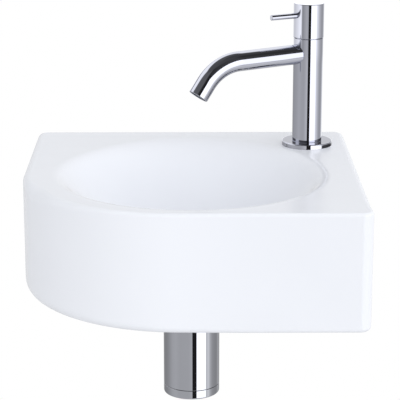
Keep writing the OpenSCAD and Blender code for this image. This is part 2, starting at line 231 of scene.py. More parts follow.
# ---------------------------------------------------------------------------
# materials
# ---------------------------------------------------------------------------
def material(name):
    m = bpy.data.materials.new(name)
    m.use_nodes = True
    nt = m.node_tree
    b = nt.nodes["Principled BSDF"]
    tc = nt.nodes.new("ShaderNodeTexCoord")
    return m, nt, b, tc.outputs["Object"]


def node(nt, kind, inputs=(), **props):
    n = nt.nodes.new(kind)
    for k, v in props.items():
        setattr(n, k, v)
    for k, v in dict(inputs).items():
        if isinstance(v, bpy.types.NodeSocket):
            nt.links.new(v, n.inputs[k])
        else:
            n.inputs[k].default_value = v
    return n


def noise(nt, vec, scale, detail=3.0, rough=0.5, stretch=None, shift=(0, 0, 0)):
    if stretch is not None or any(shift):
        vec = node(nt, "ShaderNodeMapping", {"Vector": vec, "Scale": stretch or (1, 1, 1), "Location": shift}).outputs[0]
    return node(nt, "ShaderNodeTexNoise", {"Vector": vec, "Scale": scale, "Detail": detail, "Roughness": rough}).outputs["Fac"]


def between(nt, fac, lo, hi, a=0.3, b=0.7):
    return node(nt, "ShaderNodeMapRange", {"Value": fac, "From Min": a, "From Max": b, "To Min": lo, "To Max": hi}).outputs[0]


def blend(nt, fac, c0, c1):
    n = nt.nodes.new("ShaderNodeMix")
    n.data_type = "RGBA"
    if isinstance(fac, bpy.types.NodeSocket):
        nt.links.new(fac, n.inputs[0])
    else:
        n.inputs[0].default_value = fac
    for i, c in ((6, c0), (7, c1)):
        if isinstance(c, bpy.types.NodeSocket):
            nt.links.new(c, n.inputs[i])
        else:
            n.inputs[i].default_value = (*c, 1)
    return n.outputs[2]


def bump(nt, height, strength, distance, normal=None):
    ins = {"Height": height, "Strength": strength, "Distance": distance}
    if normal is not None:
        ins["Normal"] = normal
    return node(nt, "ShaderNodeBump", ins).outputs[0]


def chrome_material(name, tone=(0.565, 0.578, 0.655), wave=0.008):
    m, nt, b, co = material(name)
    cloud = noise(nt, co, 38, 4, 0.55)
    fine = noise(nt, co, 900, 2, 0.6)
    nt.links.new(blend(nt, between(nt, cloud, 0, 1), tuple(c * 0.975 for c in tone), tone), b.inputs["Base Color"])
    b.inputs["Metallic"].default_value = 1.0
    b.inputs["Roughness"].default_value = 0.0
    n1 = bump(nt, noise(nt, co, 55, 2, 0.4), wave, 0.0006)
    nt.links.new(bump(nt, fine, 0.012, 0.00004, n1), b.inputs["Normal"])
    return m


def turned_material(name, colour, dark, rough, centre, axis="Z", lines=2600.0, depth=0.10, stain=0.35):
    """Machined metal: fine turning lines round an axis, a little stain in the colour."""
    m, nt, b, co = material(name)
    shifted = node(nt, "ShaderNodeMapping", {"Vector": co, "Location": tuple(-c * 0.001 for c in centre)}).outputs[0]
    sep = node(nt, "ShaderNodeSeparateXYZ", {0: shifted})
    pick = {"X": (1, 2, 0), "Y": (0, 2, 1), "Z": (0, 1, 2)}[axis]
    a, c, h = (sep.outputs[i] for i in pick)
    a2 = node(nt, "ShaderNodeMath", {0: a, 1: a}, operation="MULTIPLY").outputs[0]
    c2 = node(nt, "ShaderNodeMath", {0: c, 1: c}, operation="MULTIPLY").outputs[0]
    rr = node(nt, "ShaderNodeMath", {0: node(nt, "ShaderNodeMath", {0: a2, 1: c2}, operation="ADD").outputs[0]}, operation="SQRT").outputs[0]
    comb = node(nt, "ShaderNodeCombineXYZ", {0: rr, 1: h}).outputs[0]
    fine = node(nt, "ShaderNodeTexNoise", {"Vector": comb, "Scale": lines, "Detail": 2.0, "Roughness": 0.6}).outputs["Fac"]
    cloud = noise(nt, co, 70, 4, 0.6)
    nt.links.new(blend(nt, between(nt, cloud, 0, stain, 0.42, 0.72), colour, dark), b.inputs["Base Color"])
    b.inputs["Metallic"].default_value = 1.0
    nt.links.new(between(nt, fine, rough[0], rough[1]), b.inputs["Roughness"])
    nt.links.new(bump(nt, fine, depth, 0.00008), b.inputs["Normal"])
    return m


def moulded_material(name, colour, rough, grain=1500.0, depth=0.08, speck=0.04, sheen=0.0):
    m, nt, b, co = material(name)
    cloud = noise(nt, co, 60, 3, 0.5)
    fine = noise(nt, co, grain, 3, 0.6)
    dark = tuple(c * (1 - speck) for c in colour)
    nt.links.new(blend(nt, between(nt, cloud, 0, 1), dark, colour), b.inputs["Base Color"])
    nt.links.new(between(nt, fine, rough[0], rough[1]), b.inputs["Roughness"])
    b.inputs["Sheen Weight"].default_value = sheen
    nt.links.new(bump(nt, fine, depth, 0.0001), b.inputs["Normal"])
    return m


def glaze_material():
    m, nt, b, co = material("glaze_white")
    cloud = noise(nt, co, 14, 3, 0.5)
    speck = noise(nt, co, 260, 2, 0.5)
    nt.links.new(blend(nt, between(nt, cloud, 0, 1), (0.842, 0.865, 0.922), (0.852, 0.875, 0.932)), b.inputs["Base Color"])
    nt.links.new(between(nt, cloud, 0.2, 0.27), b.inputs["Roughness"])
    b.inputs["IOR"].default_value = 1.36
    n1 = bump(nt, noise(nt, co, 16, 2, 0.4), 0.05, 0.0008)
    nt.links.new(bump(nt, speck, 0.03, 0.00006, n1), b.inputs["Normal"])
    return m


def bisque_material():
    """Where the glaze is thin or wiped off: the back, the foot and the hollow underneath."""
    m, nt, b, co = material("bisque_white")
    cloud = noise(nt, co, 22, 5, 0.6)
    grain = noise(nt, co, 1100, 3, 0.65)
    drip = noise(nt, co, 30, 3, 0.5, stretch=(1, 1, 0.25))
    base = blend(nt, between(nt, cloud, 0, 1, 0.35, 0.65), (0.80, 0.79, 0.76), (0.86, 0.858, 0.845))
    nt.links.new(blend(nt, between(nt, grain, 0, 0.25, 0.55, 0.8), base, (0.70, 0.675, 0.63)), b.inputs["Base Color"])
    nt.links.new(between(nt, drip, 0.42, 0.8), b.inputs["Roughness"])
    n1 = bump(nt, drip, 0.08, 0.0009)
    nt.links.new(bump(nt, grain, 0.18, 0.00015, n1), b.inputs["Normal"])
    return m


CHROME = chrome_material("chrome_polished")
CHROME_PIPE = chrome_material("chrome_tube", tone=(0.565, 0.578, 0.63), wave=0.012)
GLAZE = glaze_material()
BISQUE = bisque_material()
BRASS_TAP = turned_material("brass_turned_tap", (0.74, 0.55, 0.26), (0.46, 0.31, 0.14), (0.2, 0.36), (110.6, -56.8, 0))
BRASS_WASTE = turned_material("brass_turned_waste", (0.74, 0.55, 0.26), (0.46, 0.31, 0.14), (0.2, 0.36), (0, -167.0, 0))
STEEL_TAP = turned_material("steel_turned_tap", (0.60, 0.61, 0.625), (0.42, 0.42, 0.43), (0.22, 0.36), (110.6, -56.8, 0), stain=0.25)
STEEL_WASTE = turned_material("steel_turned_waste", (0.60, 0.61, 0.625), (0.42, 0.42, 0.43), (0.2, 0.34), (0, -167.0, 0), stain=0.25)
RUBBER = moulded_material("rubber_black", (0.030, 0.030, 0.032), (0.55, 0.75), grain=2200.0, depth=0.16, speck=0.3, sheen=0.08)
NYLON = moulded_material("plastic_white", (0.80, 0.80, 0.775), (0.38, 0.52), grain=1500.0, depth=0.06)
GREY_NYLON = moulded_material("plastic_grey", (0.30, 0.315, 0.335), (0.36, 0.5), grain=1500.0, depth=0.06, speck=0.08)
LAPPED = moulded_material("ceramic_lapped", (0.84, 0.81, 0.74), (0.16, 0.28), grain=2600.0, depth=0.03, speck=0.03)


# ---------------------------------------------------------------------------
# the ceramic basin
# ---------------------------------------------------------------------------
def line_steps(length, n, hold=0.5):
    """Shares along a straight run: one step close to each end, the rest even. The end itself is left to the next run."""
    return [0.0, hold / length] + [k / n for k in range(1, n)] + [1 - hold / length]


ARC_X, ARC_Y, ARC_R = -12.0, -162.0, 138.0
FRONT, FOOT = -300.0, -104.0
BACK_R, FRONT_R = 10.0, 10.0


def outline(i, b, f):
    """The basin's plan drawn in by i, with back corners of radius b and a front right one of radius f; and the inward directions."""
    pts, inward = [], []

    def arc(cx, cy, r, a0, a1, n):
        for k in range(n):
            a = rad(a0 + (a1 - a0) * k / n)
            pts.append((cx + r * math.cos(a), cy + r * math.sin(a)))
            inward.append((-math.cos(a), -math.sin(a)))

    def line(x0, y0, x1, y1, n, nx, ny):
        for t in line_steps(math.hypot(x1 - x0, y1 - y0), n):
            pts.append((x0 + (x1 - x0) * t, y0 + (y1 - y0) * t))
            inward.append((nx, ny))

    x, y0, y1 = 150 - i, FRONT + i, -i
    arc(ARC_X, ARC_Y, ARC_R - i, 180, 270, 120)
    line(ARC_X, y0, x - f, y0, 36, 0, 1)
    arc(x - f, y0 + f, f, 270, 360, 16)
    line(x, y0 + f, x, y1 - b, 60, -1, 0)
    arc(x - b, y1 - b, b, 0, 90, 16)
    line(x - b, y1, -x + b, y1, 60, 0, -1)
    arc(-x + b, y1 - b, b, 90, 180, 16)
    line(-x, y1 - b, -x, ARC_Y, 34, 1, 0)
    return np.array(pts), np.array(inward)


def soft_step(x, lo, hi):
    t = np.clip((x - lo) / (hi - lo), 0, 1)
    return t * t * (3 - 2 * t)


def build_basin():
    cx, cy = 0.0, -167.0
    wall = 12.0
    plan, inward = outline(0, BACK_R, FRONT_R)
    inner, inner_inward = outline(wall, 8.0, 8.0)
    x, y = plan[:, 0], plan[:, 1]
    bearing = np.degrees(np.arctan2(y - ARC_Y, x - ARC_X)) % 360
    # the cast edges are not even: the top edge is fuller at the front left, the foot along the whole left arc
    edge = 6.0 - 3.0 * soft_step(-y, 264.0, 297.0) + 5.0 * np.exp(-((bearing - 206.0) / 9.5) ** 2) * (x < 0)
    left = np.clip((40.0 - x) / 190.0, 0, 1) * soft_step(-y, 20.0, 130.0)
    foot_h, foot_v = 4.0 + 5.0 * left, 4.0 + 7.0 * left
    rows, kinds = [], []

    def add(xy, z, kind):
        z = np.full(len(xy), z) if np.isscalar(z) else z
        rows.append(np.column_stack([xy, z]))
        kinds.append(kind)

    def inset(i):
        return plan + inward * (np.full(len(plan), i) if np.isscalar(i) else i)[:, None]

    inner_edge = inset(edge)
    phi = np.arctan2(inner_edge[:, 1] - cy, inner_edge[:, 0] - cx)
    round_phi = np.column_stack([np.cos(phi), np.sin(phi)])
    centre = np.array([cx, cy])
    # the bowl's rim is softest at the back and tightest at the front
    back = np.clip(np.sin(phi), 0, 1) ** 4
    front = np.clip(-np.sin(phi), 0, 1) ** 2
    rim_r = 126.5 + 18.5 * back - 2.7 * front
    roll = 20.0 + 25.0 * back - 8.0 * front
    steep = 70.313 / (rim_r - roll / 2 - 56.5)
    rim = centre + rim_r[:, None] * round_phi
    gap = np.linalg.norm(inner_edge - rim, axis=1)
    # deck, from the rim outwards
    add(rim, 0.0, 0)
    near = np.minimum(0.5 / gap, 0.1)
    for t in (near, 0.2 + 0 * near, 0.4 + 0 * near, 0.6 + 0 * near, 0.8 + 0 * near, 1 - near):
        add(rim + (inner_edge - rim) * t[:, None], 0.0, 0)
    # rolled outer edge
    n = 12
    for k in range(n + 1):
        a = rad(90 * (1 - k / n))
        add(inset(edge - edge * math.cos(a)), -edge + edge * math.sin(a), 0)
    # outer wall
    for t in (0.01, 0.08, 0.22, 0.4, 0.6, 0.8, 0.93, 0.99):
        add(inset(0.0), -edge + (FOOT + foot_v + edge) * t, 0)
    # foot
    n = 14
    for k in range(n + 1):
        a = rad(90 * k / n)
        add(inset(foot_h - foot_h * math.cos(a)), FOOT + foot_v - foot_v * math.sin(a), 1 if k > 10 else 0)
    # flat rim, then the hollow's wall, which starts a little further in where the foot is full
    low = inner + inner_inward * (1.5 * left)[:, None]
    add((inset(foot_h) + low - 1.2 * inner_inward) / 2, FOOT, 1)
    n = 5
    for k in range(n + 1):
        a = rad(90 * k / n)
        add(low - inner_inward * 1.2 * (1 - math.sin(a)), FOOT + 1.2 - 1.2 * math.cos(a), 1)
    # hollow underside: the wall, a soft corner, then the deck's underside and the bowl's shell
    psi = np.arctan2(inner[:, 1] - cy, inner[:, 0] - cx)
    round_psi = np.column_stack([np.cos(psi), np.sin(psi)])
    reach = np.linalg.norm(inner - centre, axis=1)
    arc = [(57.128 + 68 * math.cos(rad(a)), -11.928 + 68 * math.sin(rad(a))) for a in np.linspace(-10, -84, 40)]
    shell = section([(260.0, -12.0), (126.16, -12.0, 7.0)] + arc[:1], closed=False, n=8)
    shell = np.concatenate([shell, np.array(arc[1:]), np.array([(52.0, -80.84), (41.0, -81.995)])])
    s = np.concatenate([[0], np.cumsum(np.linalg.norm(np.diff(shell, axis=0), axis=1))])
    start = np.interp(-reach, -shell[:, 0], s)
    z_top = np.interp(start, s, shell[:, 1])
    f = 5.0
    for t in (0.03, 0.1, 0.2, 0.4, 0.6, 0.8, 1.0):
        draw = np.clip(1 - t / 0.2, 0, 1)
        at = inner + inner_inward * (1.5 * left * draw)[:, None]
        add(at, FOOT + 1.2 + (z_top - f - FOOT - 1.2) * t, 1)
    pa = np.column_stack([reach, z_top - f])
    pb = np.column_stack([reach, z_top])
    pc = np.column_stack([np.interp(start + f, s, shell[:, 0]), np.interp(start + f, s, shell[:, 1])])
    for k in range(1, 7):
        t = k / 6
        q = pa * (1 - t) ** 2 + 2 * pb * t * (1 - t) + pc * t * t
        add(centre + round_psi * q[:, :1], q[:, 1], 1)
    for k in range(1, 37):
        d = start + f + (s[-1] - start - f) * k / 36
        r = np.interp(d, s, shell[:, 0])
        add(centre + round_psi * r[:, None], np.interp(d, s, shell[:, 1]), 1)
    pad = section([(41.0, -81.995), (38.0, -82.31, 1.6), (38.0, -86.967, 1.2), (22.5, -86.967, 0.7), (22.5, -80.0)], closed=False, n=5)
    for r, z in pad[1:]:
        add(centre + round_psi * r, z, 1)
    # seat, floor, side and rolled rim of the bowl
    seat = section([(22.5, -79.0), (22.5, -76.367, 0.7), (32.2, -76.367, 0.8), (32.2, -72.867, 1.2), (63.191, -69.61)], closed=False, n=5)
    for r, z in seat[:-1]:
        add(centre + round_phi * r, z, 0)
    for r in (34.0, 36.0):
        add(centre + round_phi * r, -69.61 - (63.191 - r) * math.tan(rad(6)), 0)

    # soft dish: a round bottom, a straight side, then a wide roll that flattens out into the deck
    bottom = -69.61 - (63.191 - 38.0) * math.tan(rad(6))
    for r in np.linspace(38.0, 75.0, 16):
        z = bottom + 0.1051 * (r - 38.0) + (steep - 0.1051) * (r - 38.0) ** 2 / 74.0
        add(centre + round_phi * r, z, 0)
    foot_z = -steep * roll / 2
    for t in np.linspace(0, 1, 12)[1:-1]:
        r = 75.0 + (rim_r - roll - 75.0) * t
        add(centre + round_phi * r[:, None], foot_z - steep * (rim_r - roll - r), 0)
    for t in np.linspace(0, 1, 29)[:-1]:
        r = rim_r - roll * (1 - t)
        add(centre + round_phi * r[:, None], -steep * roll * (0.5 - t + t ** 3 - t ** 4 / 2), 0)
    verts = np.concatenate(rows)
    verts[:, 2] += DECK
    cols = len(plan)
    faces = grid_faces(len(rows), cols, True, True)
    # bare clay at the back, on the foot and underneath
    index = []
    for k in range(len(rows)):
        for c in range(cols):
            at_wall = max(verts[k * cols + c][1], verts[faces[k * cols + c][2]][1]) > -0.05
            index.append(1 if kinds[k] == 1 or (at_wall and k > 6) else 0)
    o = mesh_object("basin_ceramic", (verts, faces), angle=40, mats=(GLAZE, BISQUE), index=index)

    cutters = []
    for x in (-100.0, 100.0):
        c = placed(lathe([(0, -3), (8.0, -3), (8.0, 16), (0, 16)], 96, closed=False), move(x, 0, 0) @ turn(90, "X"))
        cutters.append(mesh_object("cutter", c))
    c = placed(lathe([(0, -16), (17.5, -16), (17.5, 4), (0, 4)], 96, closed=False), AT_TAP)
    cutters.append(mesh_object("cutter", c))
    cut(o, cutters, angle=40)
    return o


basin = build_basin()
finish_piece(basin, ROOT, "ceramic_glaze", None, "basin")


# ---------------------------------------------------------------------------
# wall sleeves
# ---------------------------------------------------------------------------
def build_sleeves():
    prof = section([(5.25, 0, 0.3), (8.0, 0, 0.3), (8.0, 12.0), (13.0, 12.0, 0.3), (13.0, 14.5, 0.7), (5.25, 14.5, 0.4)])
    parts = [placed(lathe(prof, 96), move(x, 0, 0) @ turn(90, "X")) for x in (-100.0, 100.0)]
    return mesh_object("sleeves", join(*parts))


finish_piece(build_sleeves(), ROOT, "white_plastic", NYLON, "wall_sleeves")


# ---------------------------------------------------------------------------
# tap above the deck
# ---------------------------------------------------------------------------
def build_plate():
    prof = section([(10.6, 0), (17.9, 0), (17.9, 2.2), (21.1, 2.2), (21.1, 0), (23.75, 0, 0.15), (23.75, 4.5, 0.8), (10.6, 4.5)])
    return mesh_object("base_plate", placed(lathe(prof, 192), AT_TAP))


def build_column():
    prof = section([(10.48, 4.5), (14.0, 4.5, 0.25), (14.0, 103.1, 0.35), (12.2, 103.1), (12.2, 110.0, 0.3), (11.0, 110.0, 0.2),
                    (11.0, 58.0), (6.5, 58.0), (6.5, 22.0), (10.48, 22.0)])
    return mesh_object("column", placed(lathe(prof, 192), AT_TAP))


def spout_point(s, r, th):
    """Points of the ring of radius r at length s along the spout's axis, in the spout's own frame."""
    a1 = rad(BEND_A)
    if s <= RUN:
        p, d, n = (s, -0.0), (1.0, 0.0), (0.0, 1.0)
    else:
        a = min((s - RUN) / BEND_R, a1)
        rest = s - RUN - BEND_R * a
        n = (math.sin(a), math.cos(a))
        d = (math.cos(a), -math.sin(a))
        p = (RUN + BEND_R * math.sin(a) + rest * d[0], -BEND_R + BEND_R * math.cos(a) + rest * d[1])
    x = p[0] + r * np.cos(th) * n[0]
    z = p[1] + r * np.cos(th) * n[1]
    return np.stack([x, r * np.sin(th), z], 1)


def build_spout():
    bend_end = RUN + BEND_R * rad(BEND_A)
    end = bend_end + MOUTH_L
    s_start = 11.2
    seg = 128
    th = np.arange(seg) * 2 * math.pi / seg
    path = [s_start, 13.0, 16.0, 20.0, 30.0, 42.0, 54.0, 66.0, RUN - 0.4, RUN]
    path += [RUN + (bend_end - RUN) * k / 44 for k in range(1, 45)]
    path += [bend_end + 0.4, bend_end + 5.0, bend_end + 9.0]
    outer = [(s, 9.4) for s in path]
    lip = section([(end - 3.0, 9.4), (end, 9.4, 0.35), (end, 8.4, 0.25), (end - 9.0, 8.4), (end - 9.0, 7.4), (end - 9.6, 7.4)], closed=False, n=6)
    inner = [(s, 7.4) for s in reversed(path) if s < end - 10]
    rows = outer + [tuple(q) for q in lip] + inner
    verts = np.concatenate([spout_point(s, r, th) for s, r in rows])
    return mesh_object("spout", placed((verts, grid_faces(len(rows), seg, True, True)), SPOUT))


def build_aerator():
    ring = section([(7.2, 1.0), (8.4, 1.0), (8.4, 6.2, 0.25), (7.2, 6.2, 0.25)])
    back = section([(0, 0), (8.4, 0, 0.2), (8.4, 1.2), (0, 1.2)], closed=False)
    verts, faces = [], []
    pitch, hole, z0, z1 = 1.9, 0.78, 2.4, 4.6
    big = pitch / math.sqrt(3)
    for i in range(-6, 7):
        for j in range(-6, 7):
            x, y = pitch * (i + 0.5 * j), pitch * math.sqrt(3) / 2 * j
            if math.hypot(x, y) + big > 8.3:
                continue
            base = len(verts)
            for z in (z0, z1):
                for r in (big, hole):
                    for k in range(6):
                        a = rad(30 + 60 * k)
                        verts.append((x + r * math.cos(a), y + r * math.sin(a), z))
            for k in range(6):
                n = (k + 1) % 6
                lo_big, lo_hole, hi_big, hi_hole = base, base + 6, base + 12, base + 18
                faces.append((lo_big + k, lo_hole + k, lo_hole + n, lo_big + n))
                faces.append((hi_big + k, hi_big + n, hi_hole + n, hi_hole + k))
                faces.append((lo_hole + k, hi_hole + k, hi_hole + n, lo_hole + n))
                faces.append((lo_big + k, lo_big + n, hi_big + n, hi_big + k))
    lattice = (np.array(verts), faces)
    at = MOUTH @ move(0, 0, MOUTH_L - 7.4)
    return mesh_object("aerator_insert", placed(join(lathe(ring, 96), lathe(back, 96, closed=False), lattice), at), weld=1e-9)


def build_cap():
    prof = section([(0, 135.7), (14.35, 135.7, 0.6), (14.35, 103.7, 0.25), (12.9, 103.7), (12.9, 114.2), (4.04, 114.2), (4.04, 120.2), (0, 120.2)],
                   closed=False)
    extra = [(14.35, z) for z in np.linspace(127.0, 112.0, 16)]
    k = int(np.argmax((np.abs(prof[:, 0] - 14.35) < 1e-6) & (prof[:, 1] < 110)))
    prof = np.concatenate([prof[:k], np.array(extra), prof[k:]])
    o = mesh_object("cap", placed(lathe(prof, 192, closed=False), AT_TAP))
    hole = placed(lathe([(0, 4.0), (2.0, 4.0), (2.0, 20.0), (0, 20.0)], 48, closed=False), GRUB)
    cut(o, [mesh_object("cutter", hole)])
    return o


def build_lever():
    prof = section([(0, 12.2), (2.6, 12.2), (2.6, 41.0, 0.4), (0, 41.0)], closed=False, n=6)
    return mesh_object("lever", placed(lathe(prof, 64, closed=False), LEVER))


finish_piece(build_plate(), ROOT, "chrome_plate", CHROME, "tap_plate")
finish_piece(build_column(), ROOT, "chrome_plate", CHROME, "tap_column")
finish_piece(build_spout(), ROOT, "chrome_plate", CHROME, "tap_spout")
finish_piece(build_aerator(), ROOT, "grey_plastic", GREY_NYLON, "aerator")
finish_piece(build_cap(), HANDLE, "chrome_plate", CHROME, "handle_cap")
finish_piece(build_lever(), HANDLE, "chrome_plate", CHROME, "lever_pin")


# ---------------------------------------------------------------------------
# tap below the deck
# ---------------------------------------------------------------------------
def thread(minor, major, pitch, z0, z1, step=8):
    """Radius of a screw thread at each angle and height, fading out at its ends, and the rows that it needs."""
    def radius(th, z):
        ph = (z / pitch - th / (2 * math.pi)) % 1.0
        tooth = np.clip(np.where(ph < 0.5, ph, 1 - ph) * 2.6 - 0.25, 0, 1)
        fade = max(0.0, min(1.0, (z - z0) / pitch, (z1 - z) / pitch))
        return minor + (major - minor) * tooth * fade
    return radius, run_of(major, z0, z1, pitch / step)


def build_shank():
    th_r, rows = thread(9.32, 10.4, 1.814, -57.0, -13.0)
    prof = [(6.0, -58.0), (9.0, -58.0), (9.32, -57.6)] + rows + [(10.48, -12.4), (10.48, 19.6), (10.1, 20.0), (6.0, 20.0)]
    mod = lambda th, r, z: th_r(th, z) if abs(r - 10.4) < 1e-6 else np.full(len(th), r)
    return mesh_object("shank", placed(lathe(prof, 96, mod=mod), AT_TAP), angle=50)


def washer(ro, ri, z0, z1, f, seg=128):
    return lathe(section([(ri, z0, f), (ro, z0, f), (ro, z1, f), (ri, z1, f)]), seg)


def hex_nut(af, bore, z0, z1, collar_r, collar_z, seg=144):
    """Hexagon from z0 up to z1 with a round collar above it to collar_z; chamfered both ends, threaded bore left plain."""
    big = af / 2 / math.cos(rad(30))
    cham = (big - af / 2 * 0.97) / 1.73
    zs = [z0 + cham * k / 9 for k in range(10)] + [z0 + (z1 - z0) * t for t in (0.4, 0.5, 0.6)] + [z1 - cham * k / 9 for k in range(9, -1, -1)]
    prof = [(bore + 0.9, z0)] + [(big, z) for z in zs] + [(collar_r, z1)] + [(collar_r, z1 + 0.25), (collar_r, collar_z - 0.25), (collar_r - 0.25, collar_z), (bore + 0.6, collar_z), (bore, collar_z - 0.6), (bore, z0 + 0.9)]

    def mod(th, r, z):
        if abs(r - big) > 1e-6:
            return np.full(len(th), r)
        d = np.mod(th, math.pi / 3) - math.pi / 6
        hexr = af / 2 / np.cos(d + 0.0)
        cone = af / 2 * 0.97 + 1.73 * min(z - z0, z1 - z)
        return np.minimum(hexr, cone)
    return lathe(prof, seg, mod=mod)


finish_piece(build_shank(), ROOT, "brass_raw", BRASS_TAP, "tap_shank")
finish_piece(mesh_object("tap_soft_washer", placed(washer(22, 10.68, -15, -12, 0.35), AT_TAP)), ROOT, "black_rubber", RUBBER, "tap_rubber_washer")
finish_piece(mesh_object("tap_flat_washer", placed(washer(21.5, 10.68, -16.6, -15, 0.2), AT_TAP)), ROOT, "stainless_steel", STEEL_TAP, "tap_steel_washer")
finish_piece(mesh_object("tap_nut", placed(hex_nut(29, 10.48, -24.6, -17.5, 15.5, -16.6), AT_TAP), angle=25), ROOT, "brass_raw", BRASS_TAP, "tap_backnut")


# ---------------------------------------------------------------------------
# waste
# ---------------------------------------------------------------------------
FLANGE = -74.867


def build_waste():
    fz = FLANGE
    th_r, rows = thread(19.5, 20.9, 2.309, -116.4, -93.0)
    head = section([(20.95, fz - 15.0), (20.95, fz), (31.5, fz, 0.25), (31.5, fz + 2.6, 0.8), (22.0, fz + 2.6, 0.3), (22.0, fz + 1.0), (18.4, fz + 1.0, 0.3), (18.4, fz - 25.0)],
                   closed=False)
    prof = [(18.4, -117.0), (19.3, -117.0)] + rows + [(20.95, -92.4)] + [tuple(q) for q in head]
    mod = lambda th, r, z: th_r(th, z) if abs(r - 20.9) < 1e-6 else np.full(len(th), r)
    body = lathe(prof, 160, mod=mod)
    boss = lathe(section([(2.1, fz - 15.0, 0.3), (4.6, fz - 15.0, 0.4), (4.6, fz - 7.0, 0.4), (2.1, fz - 7.0, 0.3)]), 64)
    ribs = []
    for a in (0, 120, 240):
        sec = section([(-1.5, fz - 15.0, 0.5), (1.5, fz - 15.0, 0.5), (1.5, fz - 7.0, 0.5), (-1.5, fz - 7.0, 0.5)])
        vs = np.concatenate([np.column_stack([np.full(len(sec), x), sec[:, 0], sec[:, 1]]) for x in (4.0, 18.9)])
        ribs.append(placed((vs, grid_faces(2, len(sec), False, True)), turn(a, "Z")))
    return mesh_object("waste", placed(join(body, boss, *ribs), AT_DRAIN), angle=50)


def build_grid():
    z0, z1 = FLANGE + 1.0, FLANGE + 2.8
    plate = lathe(section([(0, z0), (21.95, z0, 0.15), (21.95, z1, 0.35), (0, z1)], closed=False), 160, closed=False)
    o = mesh_object("grid", placed(plate, AT_DRAIN))

    def drill(x, y, r):
        e = 0.3
        prof = [(0, z0 - 2), (r + e + 2 - 0.0, z0 - 2), (r, z0 + e), (r, z1 - e), (r + e + 2, z1 + 2), (0, z1 + 2)]
        return placed(lathe(prof, 48, closed=False), AT_DRAIN @ move(x, y, 0))
    tools = [drill(8.2 * math.cos(rad(60 * k)), 8.2 * math.sin(rad(60 * k)), 2.2) for k in range(6)]
    tools += [drill(14.6 * math.cos(rad(30 * k + 15)), 14.6 * math.sin(rad(30 * k + 15)), 2.6) for k in range(12)]
    sink = lathe([(0, z0 - 2), (2.6, z0 - 2), (2.6, z1 - 1.6), (4.4, z1), (6.0, z1 + 1.5), (0, z1 + 1.5)], 64, closed=False)
    tools = [mesh_object("cutter", t) for t in tools] + [mesh_object("cutter", placed(sink, AT_DRAIN))]
    cut(o, tools)
    return o


finish_piece(build_waste(), ROOT, "chrome_plate", CHROME_PIPE, "waste_body")
finish_piece(build_grid(), ROOT, "chrome_plate", CHROME_PIPE, "waste_grid")
finish_piece(mesh_object("waste_soft_seal", placed(washer(31, 21.05, -90.967, -86.967, 0.6), AT_DRAIN)), ROOT, "black_rubber", RUBBER, "waste_low_seal")
finish_piece(mesh_object("waste_slip_ring", placed(washer(30, 21.05, -92.467, -90.967, 0.25), AT_DRAIN)), ROOT, "white_plastic", NYLON, "waste_slip_washer")
finish_piece(mesh_object("waste_nut", placed(hex_nut(50, 20.95, -100.467, -93.7, 27.5, -92.467, seg=192), AT_DRAIN), angle=25), ROOT, "brass_raw", BRASS_WASTE, "waste_backnut")


# ---------------------------------------------------------------------------
# trap and outlet
# ---------------------------------------------------------------------------
def grooves(count, centre_r, groove_r, outer_r, z0, z1):
    """Round-bottomed grip grooves cut into an outer radius, running out softly at both ends."""
    def mod(th, r, z):
        out = np.full(len(th), r)
        if r < outer_r - 0.01:
            return out
        d = np.mod(th + math.pi / count, 2 * math.pi / count) - math.pi / count
        side = groove_r ** 2 - (centre_r * np.sin(d)) ** 2
        deep = centre_r * np.cos(d) - np.sqrt(np.maximum(side, 0))
        deep = np.where(side > 0, np.minimum(deep, r), r)
        end = min(1.0, max(0.0, min(z - z0, z1 - z) / groove_r + 0.0))
        end = math.sin(end * math.pi / 2)
        return r + (deep - r) * end
    return mod


def build_union_nut():
    z0, z1 = -123.4, -103.4
    hold = [(25.5, z) for z in np.concatenate([np.linspace(z0 + 3.0, z0 + 4.1, 8), [z0 + 6, z0 + 9, z0 + 11.5], np.linspace(z1 - 7.1, z1 - 6.0, 8)])]
    a = section([(16.15, -121.0), (16.15, z0, 0.3), (25.5, z0, 0.5), (25.5, z0 + 3.0)], closed=False)[:-1]
    b = section([(25.5, z1 - 6.0), (25.5, z1, 0.9), (21.5, z1), (20.95, z1 - 0.6), (20.95, -121.0), (16.15, -121.0)], closed=False)[1:-1]
    prof = np.concatenate([a, np.array(hold), b])
    return mesh_object("union_nut", placed(lathe(prof, 576, mod=grooves(24, 26.0, 1.1, 25.5, z0 + 3.0, z1 - 6.0)), AT_DRAIN))


def build_trap():
    top, seam = -124.0, -197.9
    prof = section([(23.5, seam), (25.5, seam, 0.35), (25.5, top, 0.7), (16.0, top, 0.4), (16.0, top - 3.0), (23.5, top - 3.0)])
    body = lathe(prof, 192)
    # branch to the outlet, with a soft foot on the body
    seg, f = 144, 3.2
    th = np.arange(seg) * 2 * math.pi / seg
    c, s = np.cos(th), np.sin(th)
    rows = []
    corner = np.stack([19 * c, np.sqrt(25.5 ** 2 - (19 * c) ** 2), 19 * s], 1)
    foot = np.stack([(19 + f) * c, np.sqrt(25.5 ** 2 - ((19 + f) * c) ** 2) - 0.03, (19 + f) * s], 1)
    up = corner + np.array([0, f, 0])
    for k in range(11):
        t = k / 10
        rows.append(foot * (1 - t) ** 2 + 2 * corner * t * (1 - t) + up * t * t)
    for y, r in section([(30.0, 19.0), (39.5, 19.0, 0.4), (39.5, 16.12, 0.3), (27.5, 16.12), (27.5, 14.4), (24.0, 14.4)], closed=False):
        rows.append(np.stack([r * c, np.full(seg, y), r * s], 1))
    rows[10][:, 1] = np.minimum(rows[10][:, 1], 29.6)
    branch = np.concatenate(rows), grid_faces(len(rows), seg, False, True)
    return mesh_object("trap", join(placed(body, AT_DRAIN), placed(branch, AT_DRAIN @ move(0, 0, -143.0))))


